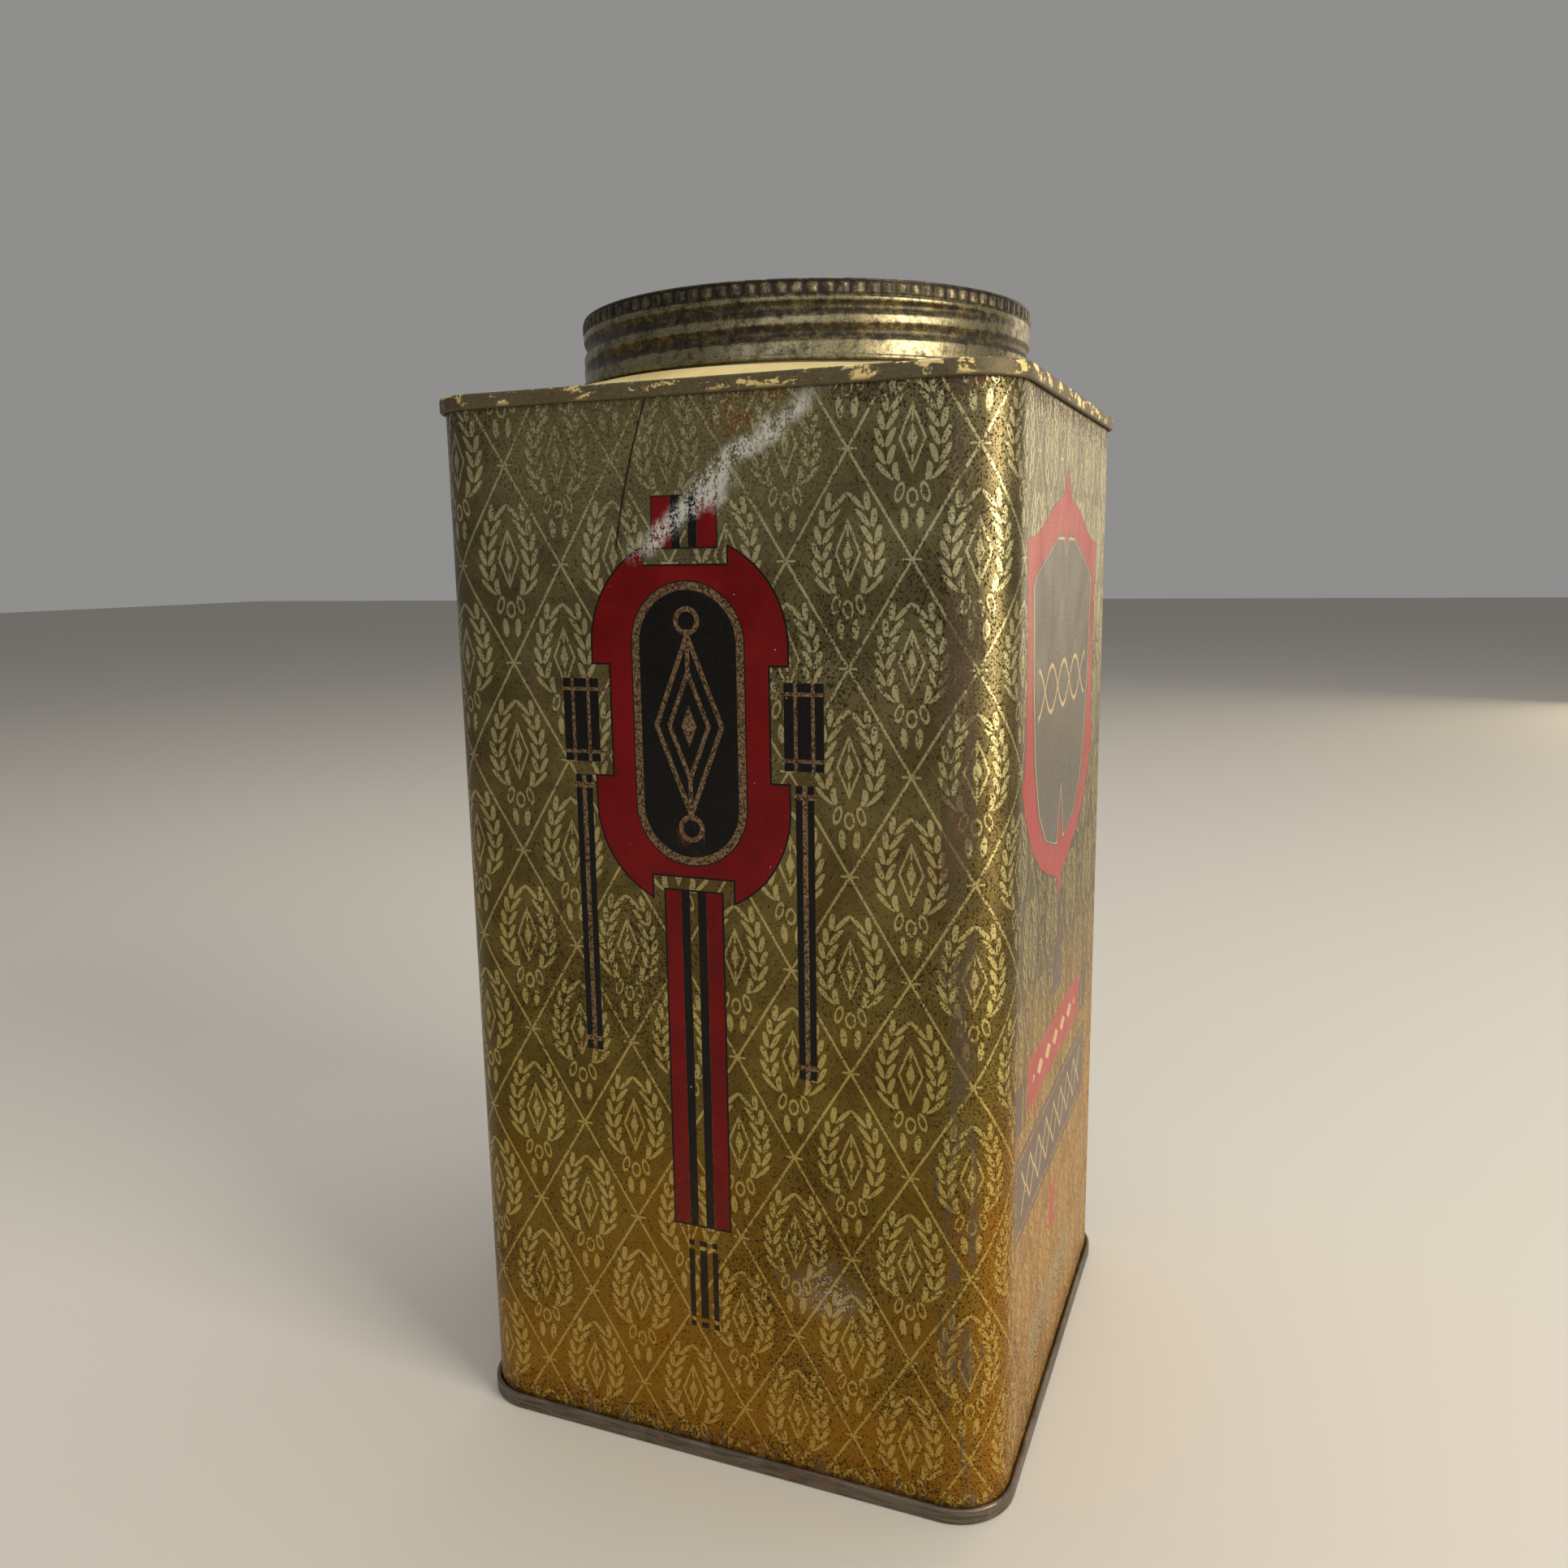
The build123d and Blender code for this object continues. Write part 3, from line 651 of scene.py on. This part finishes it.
class Tree:
    """A geometry node tree under construction, with the same sums as a finish."""

    def __init__(self, name):
        self.group = bpy.data.node_groups.new(name, "GeometryNodeTree")
        self.tree = self.group
        kind = "NodeSocketGeometry"
        self.group.interface.new_socket("Geometry", in_out="INPUT", socket_type=kind)
        self.group.interface.new_socket("Geometry", in_out="OUTPUT", socket_type=kind)
        self.entry = self.group.nodes.new("NodeGroupInput")
        self.exit = self.group.nodes.new("NodeGroupOutput")

    node = Finish.node
    join = Finish.join

    def size(self, name, value, kind="NodeSocketFloat"):
        socket = self.group.interface.new_socket(name, in_out="INPUT", socket_type=kind)
        if value is not None:
            socket.default_value = value
        return Value(self, self.entry.outputs[name])


def stepped(value):
    """Smooth step from 0 to 1."""
    held = value.finish.node("ShaderNodeClamp", {}, {0: value})
    return held * held * (3.0 - 2.0 * held)


roll = Tree("roll_thread_and_knurls")
pitch = roll.size("Pitch", THREAD_PITCH)
depth = roll.size("Depth", THREAD_DEPTH)
half = roll.size("Half width", THREAD_HALF)
turns = roll.size("Turns", THREAD_TURNS)
first = roll.size("First height", 0.0)
low = roll.size("Wall low", 0.0)
high = roll.size("Wall high", 0.0)
knurls = roll.size("Knurls", 0.0)
knurl_depth = roll.size("Knurl depth", 0.0)
knurl_low = roll.size("Knurl low", 0.0)
knurl_high = roll.size("Knurl high", 1.0)
coat = roll.size("Material", None, "NodeSocketMaterial")
where = roll.node("GeometryNodeInputPosition", {}, {})
gx, gy, gz = [roll.node("ShaderNodeSeparateXYZ", {}, {0: where}, axis) * MM for axis in "XYZ"]
wall = roll.node("GeometryNodeInputNamedAttribute", {"data_type": "FLOAT"}, {"Name": "wall"})
angle = gy.math("ARCTAN2", gy, gx)
lead = (angle - math.radians(THREAD_START)) / (2 * math.pi)
lead = lead - lead.math("FLOOR", lead)
turn_at = (gz - first) / pitch - lead
whole = nearest_whole(turn_at)
off = roll.node("ShaderNodeClamp", {}, {0: (turn_at - whole) * pitch / half, 1: -1.0, 2: 1.0})
crest = (off * (math.pi / 2)).math("COSINE", off * (math.pi / 2))
begun = (lead + whole) / THREAD_FADE
left = (turns - lead - whole) / THREAD_FADE
room = stepped(gz - low - STRAIGHT_END) * stepped(high - STRAIGHT_END - gz)
swell = depth * crest * crest * stepped(begun) * stepped(left) * room * most(wall, 0.0)
RIDGE_BLUNT, LOWER_FADE, UPPER_FADE = 0.6, 0.45, 0.6  # shape of the knurls
ridge = ((angle * knurls).math("COSINE", angle * knurls) * 0.5 + 0.5) ** RIDGE_BLUNT
ridge = ridge * stepped((gz - knurl_low) / LOWER_FADE) * stepped((knurl_high - gz) / UPPER_FADE)
swell = swell - knurl_depth * (1.0 - ridge) * most(-wall, 0.0)
outward = length(gx, gy)
move = swell / MM / outward
shift = roll.node("ShaderNodeCombineXYZ", {}, {0: gx * move, 1: gy * move})
placed = roll.node("GeometryNodeSetPosition", {}, {
    "Geometry": Value(roll, roll.entry.outputs["Geometry"]), "Offset": shift})
placed = roll.node("GeometryNodeRealizeInstances", {}, {0: placed})
placed = roll.node("GeometryNodeSetMaterial", {}, {"Geometry": placed, "Material": coat})
roll.join(roll.exit.inputs[0], placed)


def rolled(blank, sizes):
    """Runs the rolling tree on a turned blank and keeps the result as a plain mesh."""
    work = blank.modifiers.new("roll", "NODES")
    work.node_group = roll.group
    for item in roll.group.interface.items_tree:
        if item.in_out == "INPUT" and item.name in sizes:
            work[item.identifier] = sizes[item.name]
    graph = bpy.context.evaluated_depsgraph_get()
    done_mesh = bpy.data.meshes.new_from_object(blank.evaluated_get(graph), depsgraph=graph)
    blank.modifiers.clear()
    blank.data = done_mesh
    return blank


tin = Finish("plain_tinplate")
x, y, z, spot = tin.place()
cloud = tin.noise(spot, 0.1, 4.0, 0.6)
grain = tin.noise(spot, 1.5, 3.0, 0.7)
stain = tin.soft(cloud + (grain - 0.5) * 0.25, 0.5, 0.72)
tin.surface(
    Base_Color=tin.mix(stain * 0.7, colour(186, 178, 156), colour(122, 100, 66)),
    Metallic=0.9 - stain * 0.4,
    Roughness=0.28 + stain * 0.3 + grain * 0.08,
    Normal=tin.bump(grain + stain, 0.00004, 0.5))

# The outline goes round the foot, up the outside, over the rim's roll and down the inside.
neck_low, neck_high = [corner[2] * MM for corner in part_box("neck_ring")]
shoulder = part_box("top_end")[1][2] * MM
lid_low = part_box("screw_lid")[0][2] * MM
rim = neck_high - RIM_ROLL
foot = neck_low + SHEET  # top of the flange
wall_start = foot + 0.45
outline = [(NECK + NECK_FOOT, neck_low, 0.0), (NECK + NECK_FOOT, foot, 0.0)]
outline += arc(NECK + 0.05, foot + 0.05, 0.05, 270, 180, 3)
outline += rise_to(NECK, wall_start, rim, 60)
outline += arc(NECK - RIM_ROLL, rim, RIM_ROLL, 4, 300, 30)
outline += arc(NECK - RIM_ROLL, rim, RIM_ROLL - SHEET, 300, 0, 30)
outline += rise_to(NECK - SHEET, rim - 0.1, wall_start, 60)
outline += arc(NECK + 0.05, foot + 0.05, 0.05 + SHEET, 180, 270, 3)
neck = turned_sheet("threaded_neck", outline, 360)
neck.data.materials.append(tin.material)
neck = rolled(neck, {
    "First height": lid_low + LID_THREAD_RISE - THREAD_PITCH / 2, "Material": tin.material,
    "Wall low": shoulder + NECK_PLAIN, "Wall high": rim - RIM_PLAIN})
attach(neck, "can")
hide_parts("neck_ring")


# --- Lid ----------------------------------------------------------------------------------
# One tinplate pressing: the skirt's thread is rolled inward, the knurls are pressed out under
# the rim and the lower edge is curled out of the way of fingers. It has tarnished nearly
# black in the hollows and is rubbed brassy on everything that stands out. The valleys
# between the knurls also carry painted shade.

lid_low, lid_top = [corner[2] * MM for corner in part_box("screw_lid")]
PANEL_RAISE = 0.8
lid_rim = lid_top - PANEL_RAISE
THREAD_CLEARANCE = 0.45  # between the neck's thread and the skirt
INSIDE = NECK + THREAD_DEPTH + THREAD_CLEARANCE
SKIRT = INSIDE + SHEET
CURL = 0.6  # radius of the curled lower edge
LID_PLAIN = 0.9  # unthreaded wall above the lower edge
KNURL_STEP = 0.15  # knurls stand out this far from the skirt
KNURL = SKIRT + KNURL_STEP
KNURLS, KNURL_BAND, KNURL_DEPTH = 106, 3.3, 0.42
PANEL_RIM = 9.4  # flat rim outside the raised panel
PANEL = KNURL - PANEL_RIM

tarnish = Finish("tarnished_lid_tin")
x, y, z, spot = tarnish.place()
out = length(x, y)
cloud = tarnish.noise(spot, 0.05, 4.0, 0.6)
mottle = tarnish.noise(spot, 0.5, 5.0, 0.68)
grain = tarnish.noise(spot, 2.2, 3.0, 0.7)
turned_marks = tarnish.noise(tarnish.vector(x * 0.12, y * 0.12, z * 3.0), 0.9, 3.0, 0.6)
proud = tarnish.soft(out, SKIRT - 0.42, SKIRT + 0.02)
knurl_zone = tarnish.soft(z, lid_rim - KNURL_BAND + 0.1, lid_rim - KNURL_BAND + 0.4)
proud = tarnish.blend(knurl_zone, proud, tarnish.soft(out, KNURL - 0.45, KNURL - 0.08) * 0.7)
on_top = tarnish.soft(z, lid_rim - 0.35, lid_rim - 0.1)
panel_edge = tarnish.soft(abs(out - PANEL + 0.3), 2.4, 0.3)
rim_edge = tarnish.soft(out, KNURL - 2.2, KNURL - 0.5)
proud = tarnish.blend(on_top, proud, 0.56 + 0.4 * most(panel_edge, rim_edge) + (cloud - 0.5) * 1.1)
rubbed = tarnish.soft(proud * 0.62 + (mottle - 0.5) * 0.9 + (cloud - 0.5) * 0.5, 0.38, 0.76)
dark = clouded(tarnish, mottle, (38, 34, 27), (74, 66, 48), 0.35, 0.66)
bright = clouded(tarnish, grain, (106, 99, 78), (156, 146, 112))
tone = tarnish.mix(rubbed, dark, bright)
glints = tarnish.soft(grain + (mottle - 0.5) * 0.7, 0.56, 0.66) * (1.0 - rubbed)
tone = tarnish.mix(glints * 0.6, tone, colour(128, 108, 62))
# Painted shade darkens the valleys between the knurls, on top of their tarnish.
knurl_valley_shade = knurl_zone * (1.0 - on_top) * tarnish.soft(out, KNURL - 0.12, KNURL - 0.42)
tone = tarnish.mix(knurl_valley_shade * 0.85, tone, colour(24, 21, 17))
specks = tarnish.soft(grain + (mottle - 0.5) * 0.5, 0.66, 0.74)
tone = tarnish.mix(specks * 0.6, tone, colour(28, 24, 19))
tarnish.surface(
    Base_Color=tone,
    Metallic=0.72 + rubbed * 0.2,
    Roughness=0.40 - rubbed * 0.16 + mottle * 0.12,
    Normal=tarnish.bump(mottle * 0.5 + grain * 0.4 + turned_marks * 0.5, 0.00006, 0.6))

# The outline goes from the middle of the panel outwards, down the knurls and the skirt, round
# the curl and back up inside.
knurl_start, knurl_end = lid_rim - KNURL_BAND, lid_rim - 0.55
curl_height = lid_low + CURL
outline = [(0.0, lid_top, 0.0)]
outline += [(PANEL * s, lid_top, 0.0) for s in (0.3, 0.6, 0.8, 0.9)]
outline += arc(PANEL - 0.1, lid_top - 0.4, 0.4, 90, 40, 5)
outline += [(PANEL + 0.75, lid_rim + 0.12, 0.0)]
outline += arc(PANEL + 1.5, lid_rim + 0.35, 0.35, 235, 270, 3)
outline += [(PANEL + 4.5, lid_rim, 0.0)]
brow = arc(KNURL - 0.65, lid_rim - 0.65, 0.65, 90, 5, 8)
outline += [(radius, height, -0.5 if height > knurl_end else -1.0) for radius, height, _ in brow]
outline += rise_to(KNURL, knurl_end - 0.15, knurl_start + 0.12, 12, -1.0)
outline += [(SKIRT - 0.16, knurl_start + 0.02, 0.0), (SKIRT - 0.10, knurl_start - 0.12, 0.0)]
outline += rise_to(SKIRT, knurl_start - 0.3, curl_height + 0.45, 42)
outline += arc(SKIRT + 0.17, curl_height + 0.42, 0.17, 180, 250, 3)
outline += arc(INSIDE + CURL, curl_height, CURL, 110, -180, 16)
outline += rise_to(INSIDE, curl_height + 0.1, knurl_start - 0.3, 30)
outline += rise_to(KNURL - 0.72, knurl_start + 0.2, lid_rim - SHEET - 0.3, 3, 0.0)
outline += arc(KNURL - 1.0, lid_rim - SHEET - 0.28, 0.28, 0, 90, 4)
outline += [(PANEL + 1.6, lid_rim - SHEET, 0.0), (PANEL + 0.75, lid_rim - SHEET + 0.1, 0.0)]
outline += [(PANEL, lid_top - SHEET - 0.12, 0.0), (PANEL - 0.5, lid_top - SHEET, 0.0)]
outline += [(0.0, lid_top - SHEET, 0.0)]
lid = turned_sheet("knurled_lid", list(reversed(outline)), 6 * KNURLS)
lid.data.materials.append(tarnish.material)
lid = rolled(lid, {
    "Depth": -THREAD_DEPTH, "First height": lid_low + LID_THREAD_RISE,
    "Wall low": lid_low + LID_PLAIN, "Wall high": knurl_start,
    "Knurls": float(KNURLS), "Knurl depth": KNURL_DEPTH,
    "Knurl low": knurl_start + 0.1, "Knurl high": knurl_end, "Material": tarnish.material})
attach(lid, "lid")
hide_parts("screw_lid")


# --- Liner --------------------------------------------------------------------------------
# A grey-brown pulpboard disc with a waxed paper facing, pushed up inside the lid. The neck's
# rim has pressed a ring into the facing.

board = Finish("pulpboard")
x, y, z, spot = board.place()
fibre = board.noise(board.vector(x, y * 3.0, z * 3.0), 0.9, 5.0, 0.7)
fluff = board.noise(spot, 0.2, 4.0, 0.6)
board.surface(
    Base_Color=clouded(board, fibre + (fluff - 0.5) * 0.5, (128, 106, 74), (176, 154, 116)),
    Roughness=0.82 + fluff * 0.12,
    Normal=board.bump(fibre, 0.0001, 0.7))
board.cover("liner_board")

waxed = Finish("waxed_paper")
x, y, z, spot = waxed.place()
out = length(x, y)
rim_mark = waxed.soft(abs(out - (NECK - RIM_ROLL)), 1.3, 0.2)
blot = waxed.noise(spot, 0.06, 5.0, 0.62)
fibre = waxed.noise(spot, 1.1, 4.0, 0.7)
sheet = clouded(waxed, blot, (222, 212, 184), (192, 168, 122), 0.4, 0.7)
waxed.surface(
    Base_Color=waxed.mix(rim_mark * 0.55, sheet, colour(126, 98, 62)),
    Roughness=0.42 + fibre * 0.2,
    Coat_Weight=0.25 - rim_mark * 0.2,
    Normal=waxed.bump(fibre * 0.3 - rim_mark * 2.0, 0.00012, 0.7))
waxed.cover("liner_facing")


# --- Stage --------------------------------------------------------------------------------
# Pale plain floor, soft lights and the camera. None of it is part of the can.

floor = bpy.data.meshes.new("floor")
floor.from_pydata([(-6, -6, 0), (6, -6, 0), (6, 6, 0), (-6, 6, 0)], [], [(0, 1, 2, 3)])
floor = bpy.data.objects.new("floor", floor)
bpy.context.scene.collection.objects.link(floor)
matt = Finish("studio_floor")
matt.surface(Base_Color=colour(192, 187, 178), Roughness=0.75)
floor.data.materials.append(matt.material)


def soft_light(name, spot_at, aim, width, height, power, tint):
    """Rectangular area light at a place, turned to face a point."""
    lamp = bpy.data.lights.new(name, "AREA")
    lamp.shape, lamp.size, lamp.size_y = "RECTANGLE", width, height
    lamp.energy, lamp.color = power, tint
    made = bpy.data.objects.new(name, lamp)
    made.location = spot_at
    made.rotation_euler = (Vector(aim) - Vector(spot_at)).to_track_quat("-Z", "Y").to_euler()
    bpy.context.scene.collection.objects.link(made)


soft_light("key", (1.2, -0.38, 0.5), (0, 0, 0.14), 0.6, 1.0, 24, (1.0, 0.92, 0.76))
soft_light("fill", (0.3, -1.4, 0.5), (0, 0, 0.13), 1.2, 1.0, 4.6, (0.95, 0.97, 1.0))
soft_light("rim", (0.7, 1.5, 0.35), (0.06, 0, 0.12), 0.5, 0.8, 4, (1.0, 0.86, 0.62))
soft_light("top", (0.1, 0.2, 1.4), (0, 0, 0.2), 1.2, 1.2, 12, (1.0, 0.99, 0.97))
world = bpy.data.worlds.new("studio")
world.use_nodes = True
world.node_tree.nodes["Background"].inputs["Color"].default_value = (0.95, 0.94, 0.92, 1.0)
world.node_tree.nodes["Background"].inputs["Strength"].default_value = 0.29
bpy.context.scene.world = world
bpy.context.scene.view_settings.view_transform = "Standard"

CAMERA_AT = (0.11208, -0.29448, 0.19980)
YAW, PITCH, ROLL = math.radians(22.085), math.radians(-9.964), math.radians(-0.857)
lens = bpy.data.cameras.new("camera")
lens.lens, lens.sensor_width = 29.095, 36.0
lens.clip_start = 0.01
camera = bpy.data.objects.new("camera", lens)
bpy.context.scene.collection.objects.link(camera)
ahead = Vector((-math.sin(YAW) * math.cos(PITCH), math.cos(YAW) * math.cos(PITCH), math.sin(PITCH)))
level = ahead.cross(Vector((0, 0, 1))).normalized()
upright = level.cross(ahead)
right = math.cos(ROLL) * level + math.sin(ROLL) * upright
above = math.cos(ROLL) * upright - math.sin(ROLL) * level
turned = Matrix((right, above, -ahead)).transposed().to_4x4()
camera.matrix_world = Matrix.Translation(CAMERA_AT) @ turned
bpy.context.scene.camera = camera
